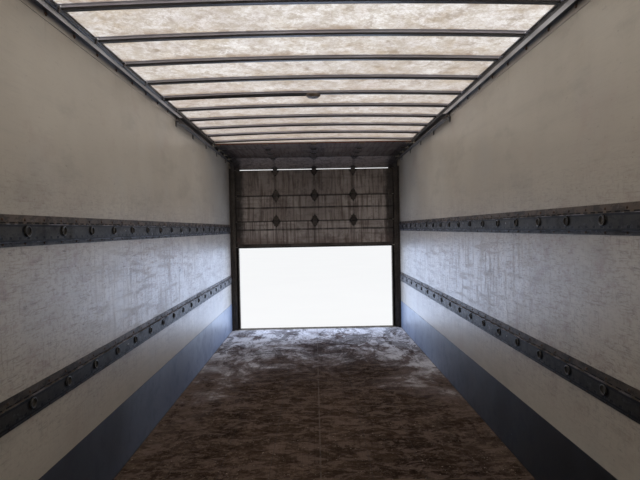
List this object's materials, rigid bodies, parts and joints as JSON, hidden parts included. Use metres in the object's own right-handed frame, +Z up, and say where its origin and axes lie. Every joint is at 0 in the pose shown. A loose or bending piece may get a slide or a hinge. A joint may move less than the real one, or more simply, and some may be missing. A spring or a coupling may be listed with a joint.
{
  "type": "box truck cargo body",
  "caption": "Cargo body of a box truck: panel walls with lashing tracks, translucent roof on bows, boarded floor and a sectional roll-up door hanging half open.",
  "frame": {"origin": "under the middle of the body, on the plane that its longsills stand on", "axes": "+X to the vehicle's left, +Y to its rear, +Z up"},
  "size_m": [2.47, 7.955, 2.79],
  "materials": {
    "painted_steel_dark": "satin",
    "hardwood": "matte",
    "rail_aluminium": "satin",
    "glass_fibre_panel": "satin",
    "scuff_sheet": "satin",
    "aged_galvanised": "matte",
    "ring_steel": "satin",
    "translucent_roof": "matte",
    "lamp_lens_clear": "gloss",
    "lens_amber": "gloss",
    "lens_red": "gloss",
    "painted_door_board": "satin",
    "door_steel": "satin",
    "roller_nylon": "satin"
  },
  "bodies": {
    "root": {"longsill_left": "painted_steel_dark", "longsill_right": "painted_steel_dark", "crossmembers": "painted_steel_dark", "rear_post_left": "painted_steel_dark", "rear_post_right": "painted_steel_dark", "rear_header": "painted_steel_dark", "rear_sill": "painted_steel_dark", "floor_boards": "hardwood", "bottom_rail_left": "rail_aluminium", "bottom_rail_right": "rail_aluminium", "top_rail_left": "rail_aluminium", "top_rail_right": "rail_aluminium", "front_top_rail": "rail_aluminium", "front_corner_caps": "rail_aluminium", "front_corner_post_left": "rail_aluminium", "front_corner_post_right": "rail_aluminium", "front_sill": "rail_aluminium", "front_roof_angle": "rail_aluminium", "side_wall_left": "glass_fibre_panel", "side_wall_right": "glass_fibre_panel", "front_wall": "glass_fibre_panel", "scuff_plate_left": "scuff_sheet", "scuff_plate_right": "scuff_sheet", "lashing_tracks_left": "aged_galvanised", "lashing_tracks_right": "aged_galvanised", "inner_roof_rail_left": "aged_galvanised", "inner_roof_rail_right": "aged_galvanised", "roof_bows": "aged_galvanised", "lamp_conduit": "aged_galvanised", "tie_rings": "ring_steel", "roof_skin": "translucent_roof", "dome_lamp": "lamp_lens_clear", "marker_lamps_amber": "lens_amber", "marker_lamps_red": "lens_red", "tail_lamps": "lens_red", "door_panel_1": "painted_door_board", "door_panel_2": "painted_door_board", "door_panel_3": "painted_door_board", "door_panel_4": "painted_door_board", "door_panel_5": "painted_door_board", "door_panel_6": "painted_door_board", "door_panel_7": "painted_door_board", "door_bottom_channel": "door_steel", "door_hinges": "door_steel", "door_latch": "door_steel", "cable_lugs": "door_steel", "door_track_left": "door_steel", "door_track_right": "door_steel", "track_hangers": "door_steel", "counterbalance": "door_steel", "shaft_brackets": "door_steel", "lift_cables": "door_steel", "door_rollers": "roller_nylon"}
  },
  "joints": []
}
